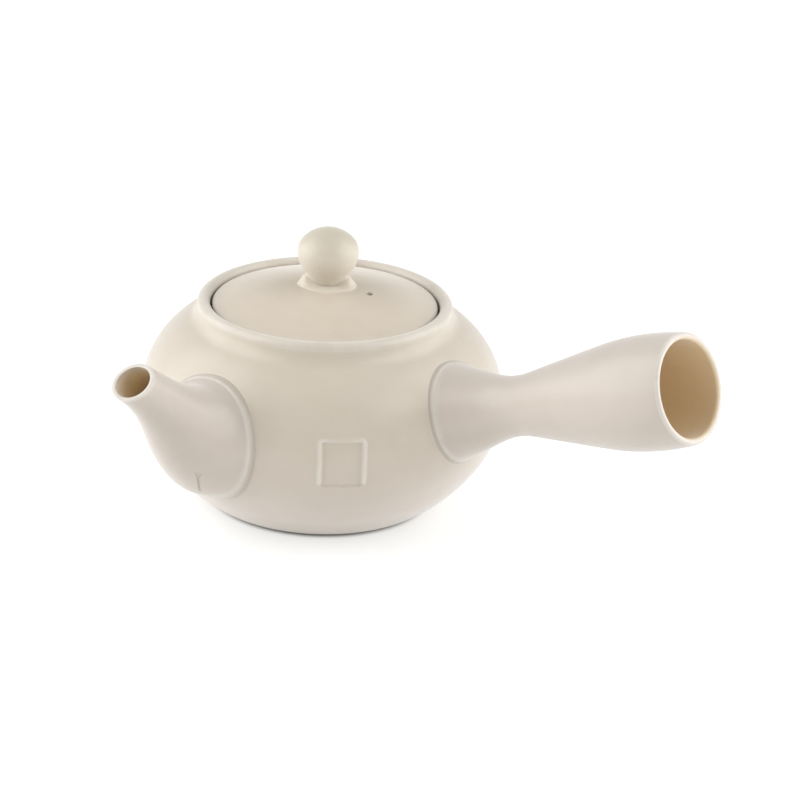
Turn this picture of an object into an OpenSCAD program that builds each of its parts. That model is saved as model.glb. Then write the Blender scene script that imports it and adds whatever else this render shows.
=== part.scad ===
// Side-handle kyusu teapot: thrown clay body, spout, hollow handle, strainer and lid

/* [Body] */
// Widest radius of the body
body_r = 48; // [44:0.5:56]
// Height of the widest ring above the table
belly_z = 28.3; // [26:0.1:32]
// Arc radius of the belly and shoulder
belly_arc = 24.9; // [23:0.1:27]
// Arc radius of the lower flank
flank_arc = 42; // [38:0.5:50]
// Radius of the flat foot
foot_r = 28; // [25:0.5:31]
// Wall thickness of the thrown shell
wall = 4; // [3:0.1:5]
// Thickness of the floor
floor_t = 4; // [3:0.1:6]

/* [Collar] */
// Outside radius of the collar
collar_r = 34.1; // [32:0.1:37]
// Thickness of the collar and its rounded rim
collar_wall = 3.8; // [2.6:0.1:4.2]
// Height of the rim above the shoulder
collar_h = 5; // [4.6:0.1:8]
// Hollow arc between collar and shoulder
neck_arc = 2.6; // [1.5:0.1:3]
// Depth from the rim down to the ledge that carries the lid
ledge_drop = 5; // [4.5:0.1:6]
// Width of the ledge that carries the lid
ledge_w = 3.3; // [2.5:0.1:5]

/* [Lid] */
// Gap between the lid and the collar
lid_gap = 0.6; // [0.3:0.1:0.8]
// Thickness of the lid at its edge
lid_edge = 3.5; // [2:0.1:4.2]
// Rise of the dome above the edge
lid_rise = 5.9; // [5:0.1:9]
// Thickness of the dome
lid_t = 3.2; // [2.5:0.1:4.5]
// Rounding of the upper edge
lid_round = 1; // [0.5:0.1:1.5]
// Gap between the locating ring and the throat
ring_gap = 0.6; // [0.4:0.1:1]
// Depth of the locating ring below the ledge
ring_h = 5; // [3:0.1:8]
// Thickness of the locating ring
ring_t = 2.6; // [2:0.1:4]
// Radius of the vent hole
vent_r = 0.9; // [0.6:0.1:1.5]
// Distance of the vent hole from the middle
vent_reach = 12.4; // [11:0.1:18]
// Turn of the vent hole from the handle
vent_turn = 14.5; // [0:0.5:359]

/* [Knob] */
// Widest radius of the knob
knob_r = 8.05; // [7.5:0.05:9]
// Height of the widest ring above the lid
knob_waist_h = 8.95; // [8.5:0.05:10]
// Height of the top above the widest ring
knob_cap_h = 6.2; // [5.6:0.1:7]
// Arc radius of the upper side
knob_side_arc = 4.7; // [4:0.1:5.2]
// Arc radius of the lower side
knob_low_arc = 8.9; // [8:0.1:10]
// Inward slope of the lower side
knob_taper = 40; // [30:0.5:42]
// Radius of the soft pad on the lid
knob_pad_r = 7.2; // [6.5:0.1:9]
// Hollow arc between neck and pad
knob_pad_arc = 8; // [7:0.1:10]

/* [Spout] */
// Turn from the handle to the spout
spout_turn = -93.4; // [-120:0.1:-80]
// Height of the spout root above the widest ring
spout_lift = 1.8; // [0:0.1:4]
// Upward slope at the root
spout_root_rise = 13; // [5:0.5:20]
// Radius of the flange on the body
spout_flange_r = 16.4; // [15:0.1:18]
// Height of the flange edge above the body
spout_step = 1.6; // [0.6:0.1:2]
// Clearance of the seat on the round body
spout_bed = 0.05; // [0.05:0.01:0.3]
// Radius that the bell curve starts from inside the wall
spout_bell_r = 17.4; // [16:0.1:18.5]
// Depth inside the body surface where the bell starts
spout_sink = 10.6; // [9:0.1:13]
// Radius at the tip
spout_tip_r = 5.7; // [4.5:0.1:7]
// Reach of the tip beyond the body
spout_reach = 25.4; // [22:0.1:32]
// Depth of the tip's middle below the rim
spout_drop = 2.9; // [0:0.1:6]
// Slope of the path at the tip
spout_tip_rise = 35.6; // [30:0.5:45]
// Extra tilt of the cut at the tip
spout_cut = 17.5; // [0:0.5:25]
// Pull of the path at the root
spout_root_pull = 17.8; // [12:0.1:24]
// Pull of the path at the tip
spout_tip_pull = 16.3; // [12:0.1:22]
// Fullness of the bell near the root
spout_full = 1.34; // [1:0.01:2]
// Hollow of the bell near the tip
spout_hollow = 2.23; // [1.5:0.01:3]
// Wall of the spout at the root
spout_wall = 3; // [2:0.1:4]
// Wall of the spout at the tip
spout_lip = 1; // [0.8:0.1:1.6]
// Radius of the hollow where the spout meets the body
spout_inner_r = 12.6; // [11:0.1:13.5]
// Radius of the opening through the body
spout_hole_r = 8.5; // [6:0.1:9]

/* [Strainer] */
// Depth of the dome's middle inside the body surface
strainer_set = 6; // [5:0.1:9]
// Depth of the rim inside the body surface
strainer_back = 2.5; // [2:0.1:3.5]
// Thickness of the strainer
strainer_t = 1.8; // [1.5:0.1:2.5]
// Radius of each hole
strainer_hole_r = 0.75; // [0.5:0.05:0.9]
// Angle between the rings of holes
strainer_pitch = 22; // [20:0.5:26]
// Rings of holes round the middle one
strainer_rings = 3; // [2:1:3]
// Holes that each ring has more than the one inside it
strainer_more = 6; // [4:1:6]

/* [Handle] */
// Height of the handle root above the widest ring
handle_lift = 8.5; // [5:0.1:11]
// Depth inside the body surface where the handle's cone starts
handle_sink = 12; // [10:0.5:14]
// Upward slope of the handle
handle_rise = 19.9; // [10:0.1:30]
// Radius of the thin flange on the body
handle_flange_r = 13.4; // [12.5:0.1:15]
// Height of the flange edge above the body
handle_step = 1; // [0.4:0.1:1.5]
// Slope of the cone next to the body
handle_flare = 17; // [12:0.5:20]
// Distance of the waist from the root
handle_waist_d = 15.8; // [13:0.1:20]
// Radius of the waist
handle_waist_r = 7.84; // [7:0.02:9]
// Hollow arc on the body side of the waist
handle_root_arc = 25.7; // [18:0.1:30]
// Hollow arc on the grip side of the waist
handle_neck_arc = 22; // [15:0.5:30]
// Distance of the fullest ring of the grip from the root
handle_grip_d = 58.9; // [54:0.1:66]
// Radius of the fullest ring of the grip
handle_grip_r = 14.7; // [13:0.1:16.5]
// Arc radius of the grip
handle_grip_arc = 74.7; // [60:0.1:90]
// Distance of the open end from the root
handle_end_d = 69; // [67:0.1:76]
// Wall thickness of the handle
handle_wall = 1.8; // [1.6:0.1:3]

/* [Stamp] */
// Turn of the bare stamped square from the handle
stamp_turn = -46.6; // [-55:0.1:-40]
// Width of the stamped square
stamp_w = 12.4; // [8:0.1:14]
// Height of the stamped square
stamp_h = 13; // [8:0.1:14]
// Depth of the flat stamped square at its middle
stamp_depth = 1.4; // [1.1:0.1:2]

/* [Hidden] */
$fn = 96;
clay = "#d9cdb9";
// Overshoot of cuts, and a length longer than any piece
cut = 1;
far = 4 * body_r;
// Overlap that lets an arc and a line cross where they would only touch
crossing = 0.002;

// Middle of the belly arc, and of the flank arc that runs into it from the foot
belly_c = [body_r - belly_arc, belly_z];
foot_p = [foot_r, 0];
foot_gap = norm(foot_p - belly_c);
arc_gap = flank_arc - belly_arc;
foot_turn = atan2(foot_p.y - belly_c.y, foot_p.x - belly_c.x);
flank_turn = acos((arc_gap ^ 2 + foot_gap ^ 2 - flank_arc ^ 2) / (2 * arc_gap * foot_gap));
flank_c = belly_c + arc_gap * [cos(foot_turn - flank_turn), sin(foot_turn - flank_turn)];
joint_turn = atan2(belly_c.y - flank_c.y, belly_c.x - flank_c.x);

// Heights of the collar, the ledge and the lid
shoulder_z = belly_z + sqrt(belly_arc ^ 2 - (collar_r - belly_c.x) ^ 2);
rim_z = shoulder_z + collar_h;
ledge_z = rim_z - ledge_drop;
seat_r = collar_r - collar_wall;
throat_r = seat_r - ledge_w;
neck_out = collar_r + neck_arc;
neck_c = [neck_out, belly_z + sqrt((belly_arc + neck_arc) ^ 2 - (neck_out - belly_c.x) ^ 2)];
neck_low = belly_c + belly_arc / (belly_arc + neck_arc) * (neck_c - belly_c);

// Dome of the lid: a sphere through the top and the edge
lid_r = seat_r - lid_gap;
lid_edge_z = ledge_z + lid_edge;
lid_top_z = lid_edge_z + lid_rise;
dome_r = (lid_r ^ 2 + lid_rise ^ 2) / (2 * lid_rise);
dome_z = lid_top_z - dome_r;
round_r = lid_r - lid_round;
round_z = dome_z + sqrt((dome_r - lid_round) ^ 2 - round_r ^ 2);
round_turn = atan2(round_r, round_z - dome_z);
ring_r = throat_r - ring_gap;

// Knob arcs: a cap arc on the axis that runs into the side arc
knob_z = lid_top_z + knob_waist_h;
knob_top_z = knob_z + knob_cap_h;
side_x = knob_r - knob_side_arc;
cap_arc = (side_x ^ 2 + knob_cap_h ^ 2 - knob_side_arc ^ 2) / (2 * (knob_cap_h - knob_side_arc));
cap_z = knob_top_z - cap_arc;
taper_r = knob_r - knob_low_arc * (1 - cos(knob_taper));
taper_z = knob_z - knob_low_arc * sin(knob_taper);
neck_r = taper_r - (taper_z - lid_top_z) * tan(knob_taper);

// Spout path: a cubic curve from inside the wall to the tip
spout_root = [body_r, belly_z + spout_lift];
spout_start = spout_root - spout_sink * [cos(spout_root_rise), sin(spout_root_rise)];
spout_tip = [body_r + spout_reach, rim_z - spout_drop];
spout_path = [
    spout_start,
    spout_start + spout_root_pull * [cos(spout_root_rise), sin(spout_root_rise)],
    spout_tip - spout_tip_pull * [cos(spout_tip_rise), sin(spout_tip_rise)],
    spout_tip
];
// Shares of the path where the bell leaves its foot curve and where the tip's cut starts to tilt
bell_from = 0.4;
cut_from = 0.7;
foot_steps = 5;
bell_steps = 10;
spout_sides = 40;
tiny = 0.01;

// Handle arcs along its own axis, measured from the root
handle_root = [body_r, 0, belly_z + handle_lift];
root_c = [handle_waist_r + handle_root_arc, handle_waist_d];
neck_grip_c = [handle_waist_r + handle_neck_arc, handle_waist_d];
grip_c = [handle_grip_r - handle_grip_arc, handle_grip_d];
grip_line = grip_c - neck_grip_c;
grip_turn = asin((handle_neck_arc + handle_grip_arc) / norm(grip_line)) - atan2(-grip_line.x, grip_line.y);
lip_r = handle_wall / 2;
lip_d = handle_end_d - lip_r;
end_r = grip_c.x + sqrt((handle_grip_arc - lip_r) ^ 2 - (lip_d - handle_grip_d) ^ 2);

// Half outline of the thrown shape, grown outward or inward, above a floor height
module body_outline(grow, low) {
    intersection() {
        union() {
            intersection() {
                translate(flank_c) circle(flank_arc + grow);
                translate(belly_c) rotate(joint_turn) translate([-far, -2 * far]) square(2 * far);
            }
            translate(belly_c) circle(belly_arc + grow);
            translate([0, low]) square([belly_c.x, belly_z + belly_arc + grow - low]);
        }
        translate([0, low]) square([far, far]);
    }
}

module body_blank() {
    rotate_extrude() body_outline(0, 0);
}

// Thin layer on the outside of the thrown shape
module body_layer(grow) {
    rotate_extrude() difference() {
        body_outline(grow, 0);
        body_outline(0, 0);
    }
}

// Collar with a full round rim and a hollow arc down to the shoulder
module collar_outline() {
    rim_round = collar_wall / 2;
    translate([seat_r - cut, belly_z]) square([collar_wall + cut, rim_z - rim_round - belly_z]);
    translate([collar_r - rim_round, rim_z - rim_round]) circle(rim_round);
    difference() {
        polygon([belly_c, neck_low, [collar_r, neck_c.y], [seat_r, neck_c.y]]);
        translate(neck_c) circle(neck_arc);
    }
}

module at_spout_root() {
    rotate(spout_turn) translate([spout_root.x, 0, spout_root.y]) rotate([0, 90 - spout_root_rise, 0])
        children();
}

module pot_body() {
    color(clay) difference() {
        rotate_extrude() difference() {
            union() {
                body_outline(0, 0);
                collar_outline();
            }
            body_outline(-wall, floor_t);
            translate([0, belly_z]) square([throat_r, far]);
            translate([0, ledge_z]) square([seat_r, far]);
        }
        at_spout_root() translate([0, 0, -spout_flange_r]) cylinder(r = spout_hole_r, h = 2 * spout_flange_r);
        rotate(stamp_turn) translate([body_r - stamp_depth, -stamp_w / 2, belly_z - stamp_h / 2])
            cube([wall, stamp_w, stamp_h]);
    }
}

// Signed distance of a point from the thrown outer surface
function body_gap(p) =
    let (h = [norm([p.x, p.y]), p.z], d = h - belly_c)
    d.y * cos(joint_turn) > d.x * sin(joint_turn)
        ? norm(d) - belly_arc
        : norm(h - flank_c) - flank_arc;

// Point moved along the spout's root axis until it lies at a gap from the body
root_way = [cos(spout_root_rise), 0, sin(spout_root_rise)];
function land(p, gap, tries = 12) =
    tries == 0 ? p : land(p - (body_gap(p) - gap) * root_way, gap, tries - 1);
function root_point(r, a, gap) = land([
    spout_root.x - r * cos(a) * sin(spout_root_rise),
    r * sin(a),
    spout_root.y + r * cos(a) * cos(spout_root_rise)
], gap);

// Point, direction and radius of the bell along the spout path
function path_point(s) =
    (1 - s) ^ 3 * spout_path[0] + 3 * (1 - s) ^ 2 * s * spout_path[1]
    + 3 * (1 - s) * s ^ 2 * spout_path[2] + s ^ 3 * spout_path[3];
function path_run(s) =
    (1 - s) ^ 2 * (spout_path[1] - spout_path[0]) + 2 * (1 - s) * s * (spout_path[2] - spout_path[1])
    + s ^ 2 * (spout_path[3] - spout_path[2]);
function ring_slope(s) =
    atan2(path_run(s).y, path_run(s).x) + spout_cut * max(0, (s - cut_from) / (1 - cut_from)) ^ 2;
function bell_r(s) = spout_tip_r + (spout_bell_r - spout_tip_r) * (1 - s ^ spout_full) ^ spout_hollow;
function wall_at(s) = spout_wall + (spout_lip - spout_wall) * s;
function bell_point(s, a, inset, push = 0) =
    let (e = ring_slope(s), r = bell_r(s) - inset, m = path_point(s) + push * [cos(e), sin(e)])
    [m.x - r * cos(a) * sin(e), r * sin(a), m.y + r * cos(a) * cos(e)];

// Point of the soft curve from a foot on the body up to the bell
function foot_curve(w, foot, a, inset) =
    let (top = bell_point(bell_from, a, inset), run = bell_point(bell_from + tiny, a, inset) - top)
    let (mid = top - norm(top - foot) / 2 * run / norm(run))
    (1 - w) ^ 2 * foot + 2 * w * (1 - w) * mid + w ^ 2 * top;

// Rings of the spout: flange edge, outer bell, lip, bore, and back along the seat
turns = [for (i = [0 : spout_sides - 1]) 360 * i / spout_sides];
spout_rings = concat(
    [[for (a = turns) root_point(spout_flange_r, a, spout_bed)]],
    [for (k = [0 : foot_steps - 1])
        [for (a = turns) foot_curve(k / foot_steps, root_point(spout_flange_r, a, spout_step), a, 0)]],
    [for (k = [0 : bell_steps])
        let (s = bell_from + (1 - bell_from) * k / bell_steps)
        [for (a = turns) bell_point(s, a, 0)]],
    [[for (a = turns) bell_point(1, a, spout_lip / 2, spout_lip / 3)]],
    [for (k = [bell_steps : -1 : 0])
        let (s = bell_from + (1 - bell_from) * k / bell_steps)
        [for (a = turns) bell_point(s, a, wall_at(s))]],
    [for (k = [foot_steps - 1 : -1 : 0])
        [for (a = turns)
            foot_curve(k / foot_steps, root_point(spout_inner_r, a, spout_bed), a, wall_at(bell_from))]],
    [[for (a = turns) root_point((spout_flange_r + spout_inner_r) / 2, a, spout_bed)]]
);

// Closed skin over rings of points, the last ring joined to the first
module skin(rings) {
    n = len(rings[0]);
    m = len(rings);
    polyhedron(
        points = [for (ring = rings) each ring],
        faces = [
            for (k = [0 : m - 1], i = [0 : n - 1])
                let (j = (i + 1) % n, here = k * n, next = (k + 1) % m * n)
                each [[here + i, here + j, next + i], [next + i, here + j, next + j]]
        ]
    );
}

module spout() {
    color(clay) rotate(spout_turn) skin(spout_rings);
}

// Thimble of clay in the opening, with rings of holes through its dome
module spout_strainer() {
    color(clay) at_spout_root() translate([0, 0, -strainer_set]) difference() {
        rotate_extrude() difference() {
            thimble_outline(spout_hole_r, strainer_set - strainer_back);
            thimble_outline(spout_hole_r - strainer_t, strainer_set);
        }
        for (k = [0 : strainer_rings], count = max(1, strainer_more * k), i = [0 : count - 1])
            rotate(360 * i / count) rotate([180 - k * strainer_pitch, 0, 0])
                translate([0, 0, spout_hole_r - 2 * strainer_t])
                    cylinder(r = strainer_hole_r, h = 3 * strainer_t);
    }
}

module thimble_outline(r, h) {
    square([r, h]);
    intersection() {
        circle(r);
        translate([0, -r]) square(r);
    }
}

// Half outline of the handle along its axis, set in from the outside, up to an end distance
module handle_outline(inset, end) {
    core_r = handle_waist_r - inset;
    flare_p = root_c - (handle_root_arc + inset) * [cos(handle_flare), sin(handle_flare)];
    start_r = flare_p.x + (flare_p.y + handle_sink) * tan(handle_flare);
    flare_end = flare_p.y + (flare_p.x - core_r) / tan(handle_flare);
    line_a = neck_grip_c + (handle_neck_arc + inset) * [-cos(grip_turn), sin(grip_turn)];
    line_b = grip_c + (handle_grip_arc - inset) * [cos(grip_turn), -sin(grip_turn)];
    line_start = line_a.y - (line_a.x - core_r) / tan(grip_turn);
    translate([0, -handle_sink]) square([core_r, handle_sink + line_b.y]);
    polygon([[0, -handle_sink], [start_r, -handle_sink], [core_r, flare_end], [0, flare_end]]);
    difference() {
        translate([0, flare_p.y]) square([flare_p.x, handle_waist_d - flare_p.y]);
        translate(root_c) circle(handle_root_arc + inset + crossing);
    }
    difference() {
        translate([0, handle_waist_d]) square([line_a.x, line_a.y - handle_waist_d]);
        translate(neck_grip_c) circle(handle_neck_arc + inset + crossing);
    }
    polygon([[0, line_start], [core_r, line_start], line_b, [0, line_b.y]]);
    intersection() {
        translate(grip_c) circle(handle_grip_arc - inset + crossing);
        translate([0, line_b.y - cut]) square([far, end - line_b.y + cut]);
    }
}

module at_handle_root() {
    translate(handle_root) rotate([0, 90 - handle_rise, 0]) children();
}

module side_handle() {
    color(clay) difference() {
        union() {
            difference() {
                at_handle_root() rotate_extrude() {
                    handle_outline(0, lip_d);
                    translate([end_r, lip_d]) circle(lip_r);
                }
                body_blank();
            }
            intersection() {
                body_layer(handle_step);
                at_handle_root() translate([0, 0, -handle_sink])
                    cylinder(r = handle_flange_r, h = 2 * handle_sink);
            }
        }
        at_handle_root() rotate_extrude() handle_outline(handle_wall, handle_end_d + cut);
    }
}

module lid_dome(r) {
    translate([0, dome_z]) circle(r);
}

// Slice between the axis and a line turned away from it at a height
module wedge(z, turn) {
    translate([0, z]) polygon([[0, 0], far * [sin(turn), cos(turn)], [0, far]]);
}

module lid() {
    color(clay) difference() {
        rotate_extrude() {
            difference() {
                union() {
                    intersection() {
                        lid_dome(dome_r);
                        wedge(dome_z, round_turn);
                        translate([0, ledge_z]) square(far);
                    }
                    translate([0, ledge_z]) square([lid_r, round_z - ledge_z]);
                    translate([round_r, round_z]) circle(lid_round);
                }
                intersection() {
                    lid_dome(dome_r - lid_t);
                    translate([0, ledge_z - cut]) square([ring_r - ring_t, far]);
                }
            }
            translate([ring_r - ring_t, ledge_z - ring_h]) square([ring_t, ring_h]);
        }
        rotate(vent_turn) translate([vent_reach, 0, ledge_z]) cylinder(r = vent_r, h = 2 * lid_rise);
    }
}

module lid_knob() {
    color(clay) rotate_extrude() difference() {
        intersection() {
            union() {
                intersection() {
                    translate([0, cap_z]) circle(cap_arc);
                    wedge(cap_z, atan2(side_x, knob_z - cap_z));
                }
                translate([side_x, knob_z]) circle(knob_side_arc);
                intersection() {
                    translate([knob_r - knob_low_arc, knob_z]) circle(knob_low_arc);
                    translate([0, taper_z]) square([far, knob_z - taper_z]);
                }
                polygon([
                    [0, dome_z], [neck_r, lid_top_z], [taper_r, taper_z], [side_x, knob_z], [0, knob_z]
                ]);
                difference() {
                    translate([0, dome_z]) square([knob_pad_r, lid_top_z + knob_pad_arc - dome_z]);
                    translate([knob_pad_r, lid_top_z + knob_pad_arc]) circle(knob_pad_arc);
                }
            }
            translate([0, dome_z]) square(far);
        }
        lid_dome(dome_r);
    }
}

pot_body();
spout();
spout_strainer();
side_handle();
lid();
lid_knob();
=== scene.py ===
"""Side-handle kyusu teapot in unglazed cream clay, dressed over its packed frame."""

import math

import bpy
from bpy.props import FloatProperty, FloatVectorProperty, IntProperty, PointerProperty
from bpy.types import Operator, Panel, PropertyGroup
from mathutils import Matrix, Vector


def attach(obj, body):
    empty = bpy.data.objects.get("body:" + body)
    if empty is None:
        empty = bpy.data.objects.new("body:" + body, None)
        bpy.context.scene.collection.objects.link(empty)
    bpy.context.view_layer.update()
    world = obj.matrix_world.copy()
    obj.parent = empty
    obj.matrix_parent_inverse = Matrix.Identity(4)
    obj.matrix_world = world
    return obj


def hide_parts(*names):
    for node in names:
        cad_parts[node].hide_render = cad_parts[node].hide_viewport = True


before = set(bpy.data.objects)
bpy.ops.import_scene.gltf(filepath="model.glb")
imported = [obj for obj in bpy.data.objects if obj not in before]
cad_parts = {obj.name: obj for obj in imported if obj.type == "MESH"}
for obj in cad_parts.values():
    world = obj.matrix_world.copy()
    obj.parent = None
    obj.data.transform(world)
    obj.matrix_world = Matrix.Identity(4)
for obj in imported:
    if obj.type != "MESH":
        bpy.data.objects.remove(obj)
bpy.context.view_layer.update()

bl_info = {
    "name": "Kyusu teapot",
    "version": (1, 0, 0),
    "blender": (4, 5, 0),
    "location": "View3D > Sidebar > Kyusu",
    "description": "Models a thrown clay teapot with a spout, a side handle and a loose lid",
    "category": "Object",
}

FULL_TURN = 2 * math.pi
QUARTER_TURN = math.pi / 2
SEAT_SINK = 0.00015
MERGE_DISTANCE = 2e-6
UP = Vector((0, 0, 1))

# Marks on the points of a piece, and the shares of them that flanges and lips have. The bore mark
# paints warm bounce light inside hollows, the second mark paints highlights on edges, and the
# third paints shade in creases, under sides and at the foot
MARKS = ("bore", "rubbed", "stain")
CREASE_STAIN = 0.35
COVE_STAIN = 0.15
EDGE_RUBBED = 0.85
LIP_RUBBED = 0.8
COVE_ROWS, EDGE_ROWS = 5, 6


# Properties


def length(label, words, value):
    """A size in metres."""
    return FloatProperty(name=label, description=words, default=value, unit="LENGTH", precision=5)


def angle(label, words, degrees):
    """An angle, given in degrees."""
    turn = math.radians(degrees)
    return FloatProperty(name=label, description=words, default=turn, subtype="ANGLE")


def number(label, words, value):
    """A plain number without a unit."""
    return FloatProperty(name=label, description=words, default=value)


def colour(label, words, value):
    """A linear colour."""
    return FloatVectorProperty(
        name=label, description=words, default=value, size=3, subtype="COLOR", min=0, max=1
    )


class KyusuBodySizes(PropertyGroup):
    """Sizes of the thrown body and its collar."""

    radius: length("Radius", "Widest radius of the body", 0.047994)
    belly_z: length("Belly height", "Height of the widest ring", 0.0283)
    belly_arc: length("Belly arc", "Arc of the belly and shoulder", 0.0249)
    flank_arc: length("Flank arc", "Arc of the lower flank", 0.042)
    foot: length("Foot", "Radius of the flat foot", 0.028)
    foot_round: length("Foot rounding", "Rounding where the foot meets the table", 0.0012)
    wall: length("Wall", "Thickness of the wall and floor", 0.004)
    collar: length("Collar", "Outside radius of the collar", 0.0336)
    collar_wall: length("Collar wall", "Thickness of the collar", 0.0033)
    collar_height: length("Collar height", "Height of the rim above the shoulder", 0.00476)
    neck_arc: length("Neck arc", "Hollow arc between collar and shoulder", 0.005)
    ledge_drop: length("Ledge depth", "Depth from the rim to the ledge", 0.005)
    ledge: length("Ledge", "Width of the ledge that carries the lid", 0.0033)
    edge_round: length("Edge rounding", "Rounding of the inner edges", 0.0005)
    hole: length("Opening", "Radius of the opening to the spout", 0.0085)
    stamp_turn: angle("Stamp turn", "Turn of the bare stamped square from the handle", -46.6)
    stamp_width: length("Stamp width", "Width of the stamped square", 0.0115)
    stamp_height: length("Stamp height", "Height of the stamped square", 0.013)
    stamp_depth: length("Stamp depth", "Depth of the stamped square", 0.0004)
    stamp_bevel: length("Stamp bevel", "Width of the soft slope round the square", 0.0009)
    stamp_ridge: length("Stamp ridge", "Height of the clay pushed up round the square", 0.00035)


class KyusuLidSizes(PropertyGroup):
    """Sizes of the lid and its knob."""

    gap: length("Gap", "Gap between lid and collar", 0.0006)
    edge: length("Edge", "Thickness at the edge", 0.0035)
    rise: length("Rise", "Rise of the dome above the edge", 0.0059)
    wall: length("Wall", "Thickness of the dome", 0.0032)
    rounding: length("Rounding", "Rounding of the upper edge", 0.001)
    low_round: length("Low rounding", "Rounding of the lower edge", 0.0004)
    ring_gap: length("Ring gap", "Gap between locating ring and throat", 0.0006)
    ring_depth: length("Ring depth", "Depth of the locating ring", 0.005)
    ring_wall: length("Ring wall", "Thickness of the locating ring", 0.0026)
    edge_shift: length("Edge shift", "Distance of the hand-trimmed edge from the middle", 0.0004)
    edge_turn: angle("Edge turn", "Turn of that shift from the handle", 125.4)
    vent: length("Vent", "Radius of the vent hole", 0.0009)
    vent_reach: length("Vent reach", "Distance of the vent hole from the middle", 0.0124)
    vent_turn: angle("Vent turn", "Turn of the vent hole from the handle", 14.5)
    knob: length("Knob", "Widest radius of the knob", 0.00805)
    knob_waist: length("Knob height", "Height of its widest ring above the lid", 0.00895)
    knob_cap: length("Knob cap", "Height of the top above the widest ring", 0.0062)
    knob_side_arc: length("Knob side arc", "Arc of the upper side", 0.0047)
    knob_low_arc: length("Knob low arc", "Arc of the lower side", 0.0089)
    knob_taper: angle("Knob taper", "Inward slope of the lower side", 40)
    pad: length("Pad", "Radius of the smeared pad under the knob", 0.0081)
    pad_height: length("Pad height", "Height where the pad meets the knob", 0.0029)
    knob_shift: length("Knob shift", "Distance of the hand-set knob from the middle", 0.0004)
    knob_shift_turn: angle("Knob shift turn", "Turn of that shift from the handle", 35.4)


class KyusuSpoutSizes(PropertyGroup):
    """Sizes of the spout."""

    turn: angle("Turn", "Turn from the handle to the spout", -93.4)
    lift: length("Lift", "Height of the root above the belly", 0.0018)
    root_rise: angle("Root rise", "Upward slope at the root", 13)
    flange: length("Flange", "Radius of the flange", 0.0164)
    step: length("Step", "Height of the flange edge", 0.0013)
    bell: length("Bell", "Radius that the bell starts from", 0.0174)
    sink: length("Sink", "Depth where the bell starts", 0.0106)
    tip: length("Tip", "Radius at the tip", 0.0057)
    reach: length("Reach", "Reach of the tip beyond the body", 0.02539)
    drop: length("Drop", "Depth of the tip below the rim", 0.0029)
    tip_rise: angle("Tip rise", "Slope of the path at the tip", 35.6)
    cut: angle("Cut", "Extra tilt of the mouth", 17.5)
    root_pull: length("Root pull", "Pull of the path at the root", 0.0178)
    tip_pull: length("Tip pull", "Pull of the path at the tip", 0.0163)
    full: number("Fullness", "Fullness of the bell near the root", 1.34)
    hollow: number("Hollow", "Hollow of the bell near the tip", 2.23)
    wall: length("Wall", "Wall at the root", 0.003)
    lip: length("Lip", "Wall at the tip", 0.001)
    inner: length("Inner root", "Radius of the hollow at the body", 0.0126)
    edge: length("Edge", "Rounding of the flange edge", 0.00045)
    cove: length("Cove", "Width of the hollow below the flange edge", 0.0005)


class KyusuHandleSizes(PropertyGroup):
    """Sizes of the hollow side handle."""

    lift: length("Lift", "Height of the root above the belly", 0.0085)
    rise: angle("Rise", "Upward slope of the handle", 19.9)
    flange: length("Flange", "Radius of the thin flange", 0.0134)
    step: length("Step", "Height of the flange edge", 0.00075)
    flare: angle("Flare", "Slope of the cone next to the body", 17)
    waist: length("Waist", "Radius of the waist", 0.00784)
    waist_at: length("Waist place", "Distance of the waist from the root", 0.0158)
    root_arc: length("Root arc", "Hollow arc on the body side", 0.0257)
    neck_arc: length("Neck arc", "Hollow arc on the grip side", 0.022)
    grip: length("Grip", "Fullest radius of the grip", 0.0147)
    grip_at: length("Grip place", "Distance of the fullest ring", 0.0589)
    grip_arc: length("Grip arc", "Arc of the grip", 0.0747)
    end_at: length("End", "Distance of the open end", 0.069)
    wall: length("Wall", "Wall thickness", 0.0018)
    edge: length("Edge", "Rounding of the flange edge", 0.0004)
    cove: length("Cove", "Width of the hollow below the flange edge", 0.0004)


class KyusuClay(PropertyGroup):
    """Colours and finish of the fired clay."""

    warm: colour("Warm clay", "Colour of the upper body", (0.582, 0.519, 0.43))
    cool: colour("Cool clay", "Colour of the low body, spout and handle", (0.54, 0.48, 0.42))
    lid: colour("Lid clay", "Colour of the lid", (0.585, 0.507, 0.405))
    knob: colour("Knob clay", "Colour of the knob", (0.65, 0.592, 0.49))
    # Painted bounce light: a warm, bright tone inside the mouths and hollows
    bore: colour("Bore clay", "Warm colour inside the mouths", (0.87, 0.685, 0.43))
    # Painted highlight: pale colour on rims, lips, flange edges and the square's ridge
    rubbed: colour("Rubbed clay", "Pale colour of rims and edges", (0.66, 0.625, 0.565))
    patch: colour("Patches", "Tint of the darker patches", (0.94, 0.928, 0.914))
    # Tint of painted shade in creases, gaps, under sides, at the foot and on the knob's top and
    # neck; also the tint of the clay's specks
    stain: colour("Stain", "Tint of handled spots and creases", (0.6, 0.59, 0.49))
    # Painted shade: the body goes from the high colour down to the darker, greyer low colour
    # towards the bottom
    cool_below: length("Cool height", "Height below which the cool clay is full", 0.008)
    warm_above: length("Warm height", "Height above which the warm clay is full", 0.042)
    roughness: number("Roughness", "Roughness of the dry surface", 0.36)
    sheen: number("Sheen", "Pale bloom at grazing angles", 0.45)
    grain: length("Grain", "Size of the clay grain", 0.0005)
    line_pitch: length("Throwing lines", "Distance between throwing lines", 0.0011)
    line_waver: length("Line waver", "How far throwing lines waver", 0.0008)
    relief: length("Relief", "Depth of lines and grain", 0.00012)


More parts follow.
